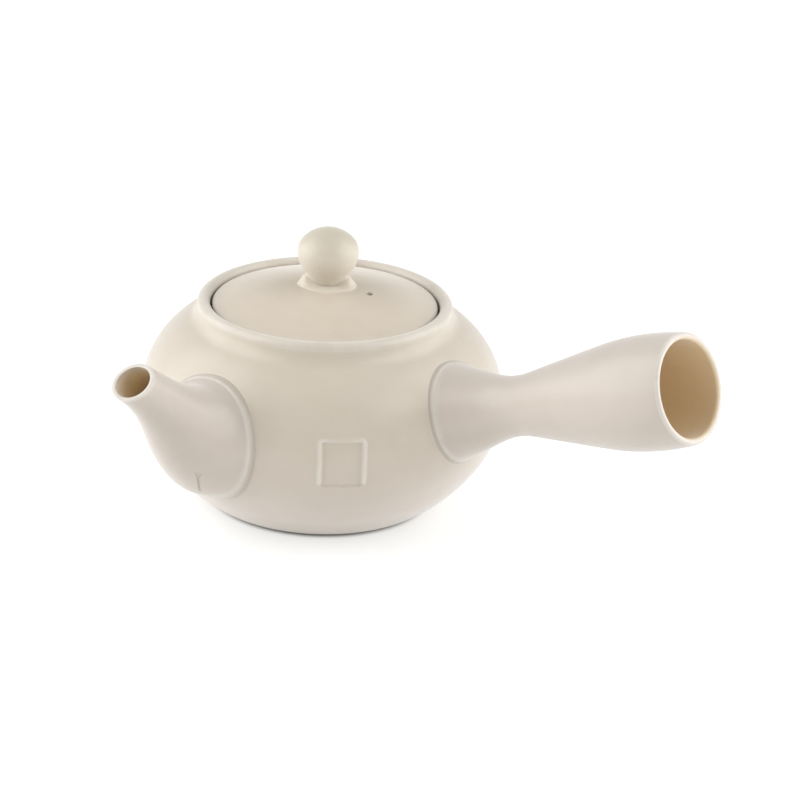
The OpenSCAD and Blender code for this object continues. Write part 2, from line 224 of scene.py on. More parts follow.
class KyusuStage(PropertyGroup):
    """Camera, light and floor."""

    turn: angle("Camera turn", "Turn of the camera round the pot", 35.39)
    rise: angle("Camera rise", "Height angle of the camera", 22.084)
    roll: angle("Camera roll", "Roll of the camera", 2.301)
    distance: length("Camera distance", "Distance to the aim point", 1.0)
    aim_z: length("Aim height", "Height of the aim point on the axis", 0.03)
    focus: number("Focal length", "Focal length in image pixels", 3769)
    aim_u: number("Aim column", "Image column of the aim point", 322.392)
    aim_v: number("Aim row", "Image row of the aim point", 388.655)
    image: IntProperty(name="Image", description="Width and height of the image", default=800)
    sky: number("Sky", "Strength of the white surroundings", 0.5)
    floor: colour("Floor", "Colour of the pale floor", (0.52, 0.52, 0.52))
    floor_size: length("Floor size", "Side of the floor", 12)
    glow: number("Floor glow", "Light of the white table from below", 0.58)
    # Painted contact shadow: the floor's glow fades out between these distances
    glow_from: length("Glow start", "Distance from the middle where the glow starts", 0.0275)
    glow_to: length("Glow end", "Distance from the middle where the glow is full", 0.0306)
    light_size: length("Light size", "Side of the square soft lights", 1.2)
    light_front: length("Light front", "Distance of the lights to the front", 0.05)
    light_height: length("Light height", "Height of the lights", 0.45)
    left_reach: length("Left reach", "Distance of the left light to the side", 0.88)
    right_reach: length("Right reach", "Distance of the right light to the side", 0.93)
    left_power: number("Left light", "Power of the left soft light in watts", 11.8)
    right_power: number("Right light", "Power of the right soft light in watts", 11.3)


# Sums with places and directions


def clamp(value):
    """A value kept between nought and one."""
    return min(1, max(0, value))


def ray(turn):
    """Unit vector at an angle in the plane of an outline."""
    return Vector((math.cos(turn), math.sin(turn)))


def heading(turn):
    """Level unit vector at a turn from the handle."""
    return ray(turn).to_3d()


def turn_of(v):
    """Angle of a vector."""
    return math.atan2(v[1], v[0])


def from_axis(p):
    """Distance of a point from the upright axis."""
    return math.hypot(p.x, p.y)


def turns_of(sides):
    """Turns of the points round a ring."""
    return [FULL_TURN * k / sides for k in range(sides)]


# Outline helpers, in metres, as points of radius and height


def arc(centre, radius, start, end, count):
    """Points on an arc from one angle to another."""
    x, y = centre
    turns = [start + (end - start) * k / count for k in range(count + 1)]
    return [Vector((x + radius * math.cos(a), y + radius * math.sin(a))) for a in turns]


def line(start, end, count):
    """Points on a straight line, without its first point."""
    start, end = Vector(start), Vector(end)
    return [start.lerp(end, k / count) for k in range(1, count + 1)]


def bow(start, bend, end, w):
    """Point at a share of a soft bow that is drawn towards a bend."""
    return (1 - w) ** 2 * start + 2 * w * (1 - w) * bend + w**2 * end


class Pot:
    """Arcs of the thrown body that every other piece is seated on."""

    # Points of the rounded toe beyond the foot's radius, and its run up the flank,
    # as shares of the foot's rounding
    toe = ((-1.5, 0), (-0.5, 0.12), (0.2, 0.55))
    toe_run = 2
    land_steps = 16

    def __init__(self, sizes):
        s = sizes
        self.sizes = s
        self.belly = Vector((s.radius - s.belly_arc, s.belly_z))
        foot = Vector((s.foot, 0))
        gap = (foot - self.belly).length
        spare = s.flank_arc - s.belly_arc
        bend = math.acos((spare**2 + gap**2 - s.flank_arc**2) / (2 * spare * gap))
        self.flank = self.belly + spare * ray(turn_of(foot - self.belly) - bend)
        self.joint = turn_of(self.belly - self.flank)
        shoulder = s.belly_z + math.sqrt(s.belly_arc**2 - (s.collar - self.belly.x) ** 2)
        self.rim = shoulder + s.collar_height
        self.ledge = self.rim - s.ledge_drop
        self.seat = s.collar - s.collar_wall
        self.throat = self.seat - s.ledge
        out = s.collar + s.neck_arc
        rise = math.sqrt((s.belly_arc + s.neck_arc) ** 2 - (out - self.belly.x) ** 2)
        self.neck = Vector((out, s.belly_z + rise))

    def gap(self, p):
        """Distance of a point from the outer surface, negative inside."""
        h = Vector((from_axis(p), p.z))
        d = h - self.belly
        if d.y * math.cos(self.joint) > d.x * math.sin(self.joint):
            return d.length - self.sizes.belly_arc
        return (h - self.flank).length - self.sizes.flank_arc

    def land(self, p, way, gap):
        """The point moved along a direction until it lies at a gap from the surface."""
        p = p.copy()
        for _ in range(self.land_steps):
            p -= (self.gap(p) - gap) * way
        return p

    def outline(self):
        """Outer and inner outline of the body from the foot's middle to the floor's middle."""
        s = self.sizes
        r = s.edge_round
        foot_turn = turn_of(Vector((s.foot, 0)) - self.flank)
        rise_turn = foot_turn + self.toe_run * s.foot_round / s.flank_arc
        neck_turn = turn_of(self.neck - self.belly)
        rim_round = s.collar_wall / 2
        rim_z = self.rim - rim_round
        inner_arc = s.belly_arc - s.wall
        inner_flank = s.flank_arc - s.wall
        throat_turn = math.acos((self.throat - self.belly.x) / inner_arc)
        floor_turn = math.asin((s.wall - self.flank.y) / inner_flank)
        toe = [Vector((s.foot + x * s.foot_round, z * s.foot_round)) for x, z in self.toe]
        points = [Vector((0, 0))] + line((0, 0), toe[0], 10) + toe[1:]
        points += arc(self.flank, s.flank_arc, rise_turn, self.joint, 22)
        points += arc(self.belly, s.belly_arc, self.joint, neck_turn, 46)[1:]
        points += arc(self.neck, s.neck_arc, neck_turn + math.pi, math.pi, 8)[1:]
        points += line(points[-1], (s.collar, rim_z), 2)
        points += arc((s.collar - rim_round, rim_z), rim_round, 0, math.pi, 14)[1:]
        points += line(points[-1], (self.seat, self.ledge + r), 4)
        points += arc((self.seat - r, self.ledge + r), r, 0, -QUARTER_TURN, 4)[1:]
        points += line(points[-1], (self.throat + r, self.ledge), 3)
        points += arc((self.throat + r, self.ledge - r), r, QUARTER_TURN, math.pi, 4)[1:]
        points += arc(self.belly, inner_arc, throat_turn, self.joint, 30)
        points += arc(self.flank, inner_flank, self.joint, floor_turn, 12)[1:]
        points += line(points[-1], (0, s.wall), 8)
        return points


# Modelling helpers


def named(name):
    """The object that was just added, under its name."""
    added = bpy.context.object
    added.name = added.data.name = name
    return added


def make_active(piece):
    """Selects one piece alone and makes it active."""
    bpy.ops.object.select_all(action="DESELECT")
    piece.select_set(True)
    bpy.context.view_layer.objects.active = piece


def edit_all():
    """Edit mode with every part of the active mesh selected."""
    bpy.ops.object.mode_set(mode="EDIT")
    bpy.ops.mesh.select_mode(type="VERT")
    bpy.ops.mesh.select_all(action="SELECT")


def edit_faces(piece, wanted):
    """Edit mode with only the wanted faces of a piece selected."""
    make_active(piece)
    bpy.ops.object.mode_set(mode="EDIT")
    bpy.ops.mesh.select_mode(type="FACE")
    bpy.ops.mesh.select_all(action="DESELECT")
    bpy.ops.object.mode_set(mode="OBJECT")
    for face in piece.data.polygons:
        face.select = wanted(face)
    bpy.ops.object.mode_set(mode="EDIT")


def subdivide(piece, wanted, cuts):
    """Cuts the wanted faces of a piece into smaller ones."""
    edit_faces(piece, wanted)
    bpy.ops.mesh.subdivide(number_cuts=cuts)
    bpy.ops.object.mode_set(mode="OBJECT")


def tidy_mesh():
    """Merges seams and poles, turns faces outwards and leaves edit mode."""
    bpy.ops.mesh.select_all(action="SELECT")
    bpy.ops.mesh.remove_doubles(threshold=MERGE_DISTANCE)
    bpy.ops.mesh.normals_make_consistent(inside=False)
    bpy.ops.object.mode_set(mode="OBJECT")
    bpy.ops.object.transform_apply(location=True, rotation=True, scale=True)


def lathe(name, outline, steps):
    """Draws an outline by extruding from one point, then spins it about the upright axis."""
    places = [Vector((p.x, 0, p.y)) for p in outline]
    bpy.ops.mesh.primitive_plane_add(size=0.001, location=places[0])
    piece = named(name)
    edit_all()
    bpy.ops.mesh.merge(type="CENTER")
    for here, there in zip(places, places[1:]):
        bpy.ops.mesh.extrude_region_move(TRANSFORM_OT_translate={"value": there - here})
    bpy.ops.mesh.select_all(action="SELECT")
    bpy.ops.mesh.spin(steps=steps, angle=FULL_TURN, center=(0, 0, 0), axis=UP)
    tidy_mesh()
    return piece


def wrap_rings(name, rows):
    """Wraps a grid over rows of points with their marks, closed both ways."""
    around, along = len(rows[0][0]), len(rows)
    bpy.ops.mesh.primitive_grid_add(x_subdivisions=around, y_subdivisions=along, size=1)
    piece = named(name)
    for mark in MARKS:
        piece.data.attributes.new(mark, "FLOAT", "POINT")
    layers = [piece.data.attributes[mark].data for mark in MARKS]
    for vertex in piece.data.vertices:
        row = round((vertex.co.y + 0.5) * along) % along
        column = round((vertex.co.x + 0.5) * around) % around
        ring, *shares = rows[row]
        vertex.co = ring[column]
        for layer, value in zip(layers, shares):
            layer[vertex.index].value = value
    edit_all()
    tidy_mesh()
    return piece


def cut_away(piece, cutter):
    """Cuts a shape out of a piece and removes the cutter."""
    make_active(piece)
    modifier = piece.modifiers.new("cut", "BOOLEAN")
    modifier.operation = "DIFFERENCE"
    modifier.solver = "EXACT"
    modifier.object = cutter
    bpy.ops.object.modifier_apply(modifier=modifier.name)
    bpy.data.objects.remove(cutter)


def smooth(piece, degrees=38):
    """Smooth shading with creases kept."""
    make_active(piece)
    bpy.ops.object.shade_smooth_by_angle(angle=math.radians(degrees))


def mark_points(piece, mark, rule):
    """Stores a share from nought to one on each point, worked out from its place."""
    layer = piece.data.attributes.new(mark, "FLOAT", "POINT")
    for vertex, item in zip(piece.data.vertices, layer.data):
        item.value = clamp(rule(vertex.co))


def stain_below(piece, most):
    """Adds painted shade to the outer sides that face down."""
    marks = piece.data.attributes
    for vertex, bore, stain in zip(piece.data.vertices, marks["bore"].data, marks["stain"].data):
        more = most * (1 - bore.value) * max(0, -vertex.normal.z)
        stain.value = min(1, stain.value + more)


def seat_piece(piece, body, node, finish):
    """Gives a piece its finish and lets it ride on its body in place of the plain node."""
    piece.data.materials.clear()
    piece.data.materials.append(finish)
    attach(piece, body)
    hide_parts(node)


# Materials


class Wire:
    """A node socket that can be used in sums."""

    def __init__(self, tree, socket):
        self.tree = tree
        self.socket = socket

    def node(self, kind, settings=None, out=0, **inputs):
        """Adds a node with its settings and its inputs, and returns one of its outputs."""
        made = self.tree.nodes.new(kind)
        for key, value in (settings or {}).items():
            setattr(made, key, value)
        for key, value in inputs.items():
            numbered = key[0] == "i" and key[1:].isdigit()
            socket = made.inputs[int(key[1:]) if numbered else key.replace("_", " ")]
            if isinstance(value, Wire):
                value.into(socket)
            else:
                socket.default_value = value
        return Wire(self.tree, made.outputs[out])

    def into(self, socket):
        """Feeds this value to a socket."""
        self.tree.links.new(self.socket, socket)

    def maths(self, operation, a, b):
        """Sum of two values."""
        return self.node("ShaderNodeMath", {"operation": operation}, i0=a, i1=b)

    def __add__(self, other):
        return self.maths("ADD", self, other)

    __radd__ = __add__

    def __sub__(self, other):
        return self.maths("SUBTRACT", self, other)

    def __rsub__(self, other):
        return self.maths("SUBTRACT", other, self)

    def __mul__(self, other):
        return self.maths("MULTIPLY", self, other)

    def __truediv__(self, other):
        return self.maths("DIVIDE", self, other)

    def noise(self, scale, detail, roughness):
        """Soft noise at this place."""
        return self.node(
            "ShaderNodeTexNoise", Vector=self, Scale=scale, Detail=detail, Roughness=roughness
        )

    def between(self, low, high, most=None):
        """Nought below low, one above high, soft in between, and weighed where most is given."""
        settings = {"interpolation_type": "SMOOTHSTEP"}
        part = self.node("ShaderNodeMapRange", settings, Value=self, From_Min=low, From_Max=high)
        return part if most is None else part * most

    def mix(self, first, second, blend="MIX"):
        """Mixes two colours by this value."""
        settings = {"data_type": "RGBA", "blend_type": blend}
        return self.node("ShaderNodeMix", settings, out=2, i0=self, i6=first, i7=second)

    def shade(self, first, tint):
        """Darkens a colour by a tint, as far as this value says."""
        return self.mix(first, opaque(tint), "MULTIPLY")


def opaque(values):
    """A colour with full cover."""
    return (*values, 1.0)


def new_material(name):
    """A material, the inputs of its shader and a wire to start from."""
    material = bpy.data.materials.new(name)
    material.use_nodes = True
    tree = material.node_tree
    return material, tree.nodes["Principled BSDF"].inputs, Wire(tree, None)


class ClayNoise:
    """Numbers of the noise in the clay."""

    # Scale, detail and roughness, where the grain's scale comes from its size
    patches = (38.0, 4.0, 0.55)
    clouds = (150.0, 3.0, 0.6)
    specks = (900.0, 1.0, 0.5)
    lines = (1.0, 2.5, 0.6)
    grain = (3.0, 0.65)

    # Where each noise starts and ends to show in the colour, and how much
    patch_tone = (0.35, 0.7, 0.6)
    cloud_tone = (0.4, 0.7, 0.2)
    line_tone = (0.35, 0.7, 0.1)
    cloud_wear = (0.45, 0.75, 0.5)
    speck_range = (0.74, 0.8)
    speck_tone = 0.2

    # Middle of a noise, and its share in the roughness and in the relief
    middle = 0.5
    grain_rough = 0.16
    cloud_rough = 0.1
    fine_relief = 0.2
    cloud_relief = 0.4
    bump = 0.8


def clay_finish(name, low, high, tilt=0.0):
    """Dry unglazed clay with mottling, throwing lines across a tilted axis, and its marks, with
    painted shade that darkens the high colour to the low one towards the bottom, painted
    highlights, painted shade and the bore's painted bounce light.
    """
    looks = bpy.context.scene.kyusu_clay
    noise = ClayNoise
    material, inputs, start = new_material(name)
    place = start.node("ShaderNodeTexCoord", out=3)
    turned = start.node("ShaderNodeMapping", Vector=place, Rotation=(0, tilt, 0))
    axis = start.node("ShaderNodeSeparateXYZ", out=2, Vector=turned)
    level = start.node("ShaderNodeSeparateXYZ", out=2, Vector=place)
    patches = place.noise(*noise.patches)
    clouds = place.noise(*noise.clouds)
    grain = place.noise(1 / looks.grain, *noise.grain)
    speck = place.noise(*noise.specks).between(*noise.speck_range)
    height = (axis + patches * looks.line_waver) / looks.line_pitch
    lines = start.node("ShaderNodeCombineXYZ", Z=height).noise(*noise.lines)
    bore, rubbed, stain = (
        start.node("ShaderNodeAttribute", {"attribute_name": mark}, out=2) for mark in MARKS
    )
    tone = patches.between(*noise.patch_tone) + clouds.between(*noise.cloud_tone)
    tone = tone + lines.between(*noise.line_tone)
    # Painted shade: darker low colour towards the bottom where low and high differ
    skin = level.between(looks.cool_below, looks.warm_above).mix(opaque(low), opaque(high))
    skin = tone.shade(skin, looks.patch)
    skin = (speck * noise.speck_tone).shade(skin, looks.stain)
    # Painted highlight, broken up by clouds
    worn = rubbed * (1 - clouds.between(*noise.cloud_wear))
    skin = worn.mix(skin, opaque(looks.rubbed))
    # Painted bounce light inside the bore
    skin = bore.mix(skin, opaque(looks.bore))
    # Painted shade
    skin = stain.shade(skin, looks.stain)
    skin.into(inputs["Base Color"])
    rough = looks.roughness + (grain - noise.middle) * noise.grain_rough
    rough = rough + (clouds - noise.middle) * noise.cloud_rough
    rough.into(inputs["Roughness"])
    inputs["Sheen Weight"].default_value = looks.sheen
    relief = (lines + grain - speck) * noise.fine_relief + clouds * noise.cloud_relief
    bump = start.node(
        "ShaderNodeBump", Height=relief, Distance=looks.relief, Strength=noise.bump
    )
    bump.into(inputs["Normal"])
    return material


# Pieces


class KYUSU_OT_pot_body(Operator):
    """Throws the body with its collar, presses the bare square and opens the way to the spout"""

    bl_idname = "kyusu.pot_body"
    bl_label = "Pot body"

    steps = 240
    # Height of the painted contact shadow up the foot, and shares of painted highlight on the rim
    foot_stain = 0.008
    rim_rubbed, rim_growth, rim_top = 0.45, 2, 1.5
    # Warm bore tone inside the body, painted bounce light
    inside_tone, inside_from, inside_growth = 0.5, 0.55, 4
    square_cuts = 5
    square_corner = 0.0011
    ridge_wide = 0.0009
    ridge_rubbed, ridge_bare, ridge_middle = 0.7, 0.6, 0.35

    def execute(self, context):
        sizes = context.scene.kyusu_body
        pot = Pot(sizes)
        piece = lathe("pot_body_clay", pot.outline(), self.steps)
        self.press_square(piece, sizes)
        self.open_spout(piece, context.scene.kyusu_spout, pot)
        mark_points(piece, "bore", lambda p: self.bore(p, pot))
        mark_points(piece, "rubbed", lambda p: self.rubbed(p, pot))
        mark_points(piece, "stain", lambda p: self.stain(p, pot))
        smooth(piece)
        looks = context.scene.kyusu_clay
        seat_piece(piece, "pot", "pot_body", clay_finish("thrown_clay", looks.cool, looks.warm))
        return {"FINISHED"}

    def bore(self, p, pot):
        """Warm tone of the inside, painted bounce light, which starts within the wall."""
        if p.z >= pot.ledge:
            return 0
        deep = -pot.gap(p) / pot.sizes.wall
        return min(self.inside_tone, (deep - self.inside_from) * self.inside_growth)

    def rubbed(self, p, pot):
        """Painted highlight on the rim and on the ridge round the square."""
        rim = (p.z - pot.rim) / pot.sizes.collar_wall * self.rim_growth + self.rim_top
        return max(min(self.rim_rubbed, rim), self.ridge_rubbed * self.ridge(p, pot.sizes))

    def stain(self, p, pot):
        """Painted contact shadow at the foot and painted shade in the narrow gap between the
        collar and the lid.
        """
        slack = pot.sizes.edge_round
        low, high = pot.ledge - slack, pot.rim - pot.sizes.collar_wall / 2 - slack
        if low < p.z < high and abs(from_axis(p) - pot.seat) < 2 * slack:
            return 1
        return 1 - p.z / self.foot_stain

    def square_reach(self, p, sizes):
        """Distance outside the stamped square's outline, negative inside, and None far away."""
        way = heading(sizes.stamp_turn)
        if p.dot(way) < 0 or from_axis(p) < sizes.radius - sizes.wall / 2:
            return None
        spare = self.square_corner
        x = abs(p.dot(UP.cross(way))) - sizes.stamp_width / 2 + spare
        z = abs(p.z - sizes.belly_z) - sizes.stamp_height / 2 + spare
        return math.hypot(max(x, 0), max(z, 0)) + min(max(x, z), 0) - spare

    def ridge(self, p, sizes):
        """Share of the pushed-up ridge round the square, which fades along the lower side."""
        reach = self.square_reach(p, sizes)
        if reach is None or abs(reach) > self.ridge_wide:
            return 0
        low = sizes.belly_z - sizes.stamp_height / 2
        side = abs(p.dot(UP.cross(heading(sizes.stamp_turn)))) / sizes.stamp_width * 2
        fade = clamp((p.z - low) / self.ridge_wide - self.ridge_bare)
        fade *= min(1, self.ridge_middle + (1 - self.ridge_middle) * side**2)
        return fade * math.cos(reach / self.ridge_wide * QUARTER_TURN) ** 2

    def press_square(self, piece, sizes):
        """Subdivides a patch of the front and presses a square with a soft ridge into it."""

        def near(face):
            reach = self.square_reach(face.center, sizes)
            return reach is not None and reach < 2 * self.ridge_wide

        subdivide(piece, near, self.square_cuts)
        way = heading(sizes.stamp_turn)
        for vertex in piece.data.vertices:
            reach = self.square_reach(vertex.co, sizes)
            if reach is None or reach > self.ridge_wide:
                continue
            press = clamp(-reach / sizes.stamp_bevel)
            press = press * press * (3 - 2 * press)
            rise = sizes.stamp_ridge * self.ridge(vertex.co, sizes) - sizes.stamp_depth * press
            vertex.co += way * rise

    def open_spout(self, piece, spout, pot):
        """Cuts the round opening behind the spout."""
        axis = Branch(pot, spout.turn, spout.root_rise, spout.lift)
        bpy.ops.mesh.primitive_cylinder_add(
            vertices=72,
            radius=pot.sizes.hole,
            depth=4 * pot.sizes.wall,
            location=axis.root - axis.way * pot.sizes.wall / 2,
            rotation=axis.way.to_track_quat("Z", "Y").to_euler(),
        )
        cut_away(piece, bpy.context.object)


def edge_rows(sizes):
    """Radius, height, painted highlight share and painted shade share of the rows from a flange's
    seat over its edge.
    """
    rows = [(sizes.flange, -SEAT_SINK, 0, CREASE_STAIN)]
    for k in range(COVE_ROWS):
        w = k / COVE_ROWS
        radius = sizes.flange - sizes.cove * (1 - (1 - w) ** 2)
        stain = CREASE_STAIN + (COVE_STAIN - CREASE_STAIN) * w
        rows.append((radius, (sizes.step - sizes.edge) * w, 0, stain))
    for k in range(EDGE_ROWS):
        w = k / EDGE_ROWS
        radius = sizes.flange - sizes.cove - sizes.edge * (1 - math.cos(QUARTER_TURN * w))
        height = sizes.step - sizes.edge * (1 - math.sin(QUARTER_TURN * w))
        rows.append((radius, height, EDGE_RUBBED * w, COVE_STAIN * (1 - w)))
    return rows


def edge_top(sizes):
    """Radius where a flange's rounded edge meets its upper side."""
    return sizes.flange - sizes.cove - sizes.edge


class Branch:
    """Axis of a piece that is luted onto the side of the body."""

    def __init__(self, pot, turn, rise, lift):
        self.pot = pot
        self.out = heading(turn)
        self.way = self.out * math.cos(rise) + UP * math.sin(rise)
        self.normal = UP * math.cos(rise) - self.out * math.sin(rise)
        self.side = UP.cross(self.out)
        self.root = self.out * pot.sizes.radius + UP * (pot.sizes.belly_z + lift)

    def spoke(self, turn):
        """Direction from the axis to the side at a turn."""
        return math.cos(turn) * self.normal + math.sin(turn) * self.side

    def at(self, turn, radius, distance):
        """Point at a radius from the axis and a distance along it."""
        return self.root + radius * self.spoke(turn) + self.way * distance

    def landed(self, turn, radius, gap):
        """Point at a radius from the axis that lies at a gap from the body."""
        return self.pot.land(self.at(turn, radius, 0), self.way, gap)

    def flange(self, sizes, turns):
        """Rows from a flange's seat up over its rounded edge, with their marks."""
        return [
            ([self.landed(t, radius, gap) for t in turns], 0, rubbed, stain)
            for radius, gap, rubbed, stain in edge_rows(sizes)
        ]


class KYUSU_OT_spout(Operator):
    """Models the bent spout with its flange seated all round on the body"""

    bl_idname = "kyusu.spout"
    bl_label = "Spout"

    sides = 96
    sweep_rows, bell_rows, lip_rows, back_rows = 16, 20, 6, 6
    bell_from, bell_next = 0.4, 0.41
    cut_from = 0.7
    lip_crown = 1 / 12
    edge_fade = 0.6
    # Painted shade on the sides that face down
    low_stain = 0.36

    # Warm bore tone, painted bounce light, and painted highlight of the mouth's inside at the lip,
    # and their change from row to row
    mouth_tone, mouth_tone_step = 0.45, 0.2
    mouth_rubbed, mouth_rubbed_step = 0.6, 0.3

    # Forked firing crack below the spout
    crack_tips = (Vector((0.00361, -0.05739, 0.02526)), Vector((0.00439, -0.0566, 0.02495)))
    crack_line = (
        Vector((0.00327, -0.05627, 0.02355)),
        Vector((0.00276, -0.05532, 0.02213)),
        Vector((0.00215, -0.05438, 0.02067)),
        Vector((0.00138, -0.05298, 0.01908)),
    )
    crack_tip_share = 0.5
    crack_wide = 0.00038
    crack_deep = 0.00018
    crack_stain = 1.3
    crack_cuts = 6

    # Extra clay on the lower side: its height, place along the root axis and width
    fill = 0.0009
    fill_at = 0.0012
    fill_wide = 0.0055

    def execute(self, context):
        spout = context.scene.kyusu_spout
        pot = Pot(context.scene.kyusu_body)
        self.spout = spout
        self.axis = Branch(pot, spout.turn, spout.root_rise, spout.lift)
        root_run, tip_run = ray(spout.root_rise), ray(spout.tip_rise)
        start = Vector((pot.sizes.radius, pot.sizes.belly_z + spout.lift)) - spout.sink * root_run
        tip = Vector((pot.sizes.radius + spout.reach, pot.rim - spout.drop))
        self.path = (
            start, start + spout.root_pull * root_run, tip - spout.tip_pull * tip_run, tip
        )
        piece = wrap_rings("spout_clay", self.rows())
        self.open_crack(piece)
        self.fill_below(piece)
        stain_below(piece, self.low_stain)
        smooth(piece, degrees=50)
        looks = context.scene.kyusu_clay
        seat_piece(piece, "pot", "spout", clay_finish("spout_clay", looks.cool, looks.cool))
        return {"FINISHED"}

    def crack_share(self, p, wide):
        """How deep a point lies in the forked crack, from nought at its edge to one."""
        strokes = [(tip, self.crack_line[0], self.crack_tip_share) for tip in self.crack_tips]
        strokes += [(start, end, 1) for start, end in zip(self.crack_line, self.crack_line[1:])]
        best = 0
        for start, end, deep in strokes:
            run = end - start
            along = clamp((p - start).dot(run) / run.length_squared)
            best = max(best, deep * (1 - (p - start - run * along).length / wide))
        return best

    def open_crack(self, piece):
        """Subdivides a small patch below the spout and opens a fine firing crack in it, with
        painted shade along the crack.
        """
        near_crack = 5 * self.crack_wide
        subdivide(
            piece, lambda face: self.crack_share(face.center, near_crack) > 0, self.crack_cuts
        )
        normals = [vertex.normal.copy() for vertex in piece.data.vertices]
        stain = piece.data.attributes["stain"].data
        for vertex, normal in zip(piece.data.vertices, normals):
            near = self.crack_share(vertex.co, self.crack_wide)
            if near > 0:
                vertex.co -= normal * (self.crack_deep * near)
                stain[vertex.index].value = min(1, self.crack_stain * near)

    def fill_below(self, piece):
        """Makes the lower side of the root a little fuller outside, above the flange."""
        axis = self.axis
        for vertex, bore in zip(piece.data.vertices, piece.data.attributes["bore"].data):
            if bore.value > 0:
                continue
            spoke = vertex.co - axis.root
            along = spoke.dot(axis.way)
            spoke = (spoke - axis.way * along).normalized()
            low = max(0, -spoke.dot(axis.normal)) ** 2
            near = math.exp(-(((along - self.fill_at) / self.fill_wide) ** 2))
            clear = clamp(axis.pot.gap(vertex.co) / self.spout.step - 1)
            vertex.co += spoke * (self.fill * low * near * clear)

    def middle(self, s):
        """Point of the curved path at a share of its run."""
        a, b, c, d = self.path
        return (1 - s) ** 3 * a + 3 * (1 - s) ** 2 * s * b + 3 * (1 - s) * s**2 * c + s**3 * d

    def slope(self, s):
        """Slope across the path, which tilts further towards the mouth."""
        a, b, c, d = self.path
        late = max(0, (s - self.cut_from) / (1 - self.cut_from))
        return turn_of(bow(b - a, c - b, d - c, s)) + self.spout.cut * late**2

    def wall(self, s):
        """Wall at a share of the path."""
        return self.spout.wall + (self.spout.lip - self.spout.wall) * s

    def bell(self, s, turn, inset, push=0.0):
        """Point of the bell at a share of the path, set in by a wall."""
        spout = self.spout
        radius = spout.tip + (spout.bell - spout.tip) * (1 - s**spout.full) ** spout.hollow - inset
        tilt = self.slope(s)
        m = self.middle(s) + push * ray(tilt)
        reach = m.x - radius * math.cos(turn) * math.sin(tilt)
        height = m.y + radius * math.cos(turn) * math.cos(tilt)
        across = self.axis.side * (radius * math.sin(turn))
        return self.axis.out * reach + UP * height + across

    def sweep(self, w, foot, turn, inset):
        """Point of the soft curve from the flange up to the bell."""
        top = self.bell(self.bell_from, turn, inset)
        run = (self.bell(self.bell_next, turn, inset) - top).normalized()
        return bow(foot, top - run * ((top - foot).length / 2), top, w)

    def rows(self):
        """All rows from the seat over the outside and back through the bore, with their marks."""
        spout, axis = self.spout, self.axis
        turns = turns_of(self.sides)
        rows = axis.flange(spout, turns)
        top = edge_top(spout)
        feet = [axis.landed(t, top, spout.step) for t in turns]
        for k in range(self.sweep_rows):
            ring = [self.sweep(k / self.sweep_rows, f, t, 0) for f, t in zip(feet, turns)]
            # Painted highlight that fades up from the flange edge
            rows.append((ring, 0, max(0, EDGE_RUBBED - self.edge_fade * k), 0))
        count = self.bell_rows
        shares = [self.bell_from + (1 - self.bell_from) * k / count for k in range(count)]
        for s in shares:
            rows.append(([self.bell(s, t, 0) for t in turns], 0, 0, 0))
        for k in range(self.lip_rows + 1):
            a = math.pi * k / self.lip_rows
            inset = spout.lip / 2 * (1 - math.cos(a))
            push = spout.lip * self.lip_crown * math.sin(a)
            rows.append(([self.bell(1, t, inset, push) for t in turns], 0, LIP_RUBBED, 0))
        for k, s in enumerate(reversed(shares)):
            ring = [self.bell(s, t, self.wall(s)) for t in turns]
            tone = min(1, self.mouth_tone + self.mouth_tone_step * k)
            rows.append((ring, tone, max(0, self.mouth_rubbed - self.mouth_rubbed_step * k), 0))
        wall = self.wall(self.bell_from)
        feet = [axis.landed(t, spout.inner, -SEAT_SINK) for t in turns]
        for k in reversed(range(self.back_rows)):
            ring = [self.sweep(k / self.back_rows, f, t, wall) for f, t in zip(feet, turns)]
            rows.append((ring, 1, 0, 0))
        seat = (spout.inner + spout.flange) / 2
        rows.append(([axis.landed(t, seat, -SEAT_SINK) for t in turns], 1, 0, 0))
        return rows


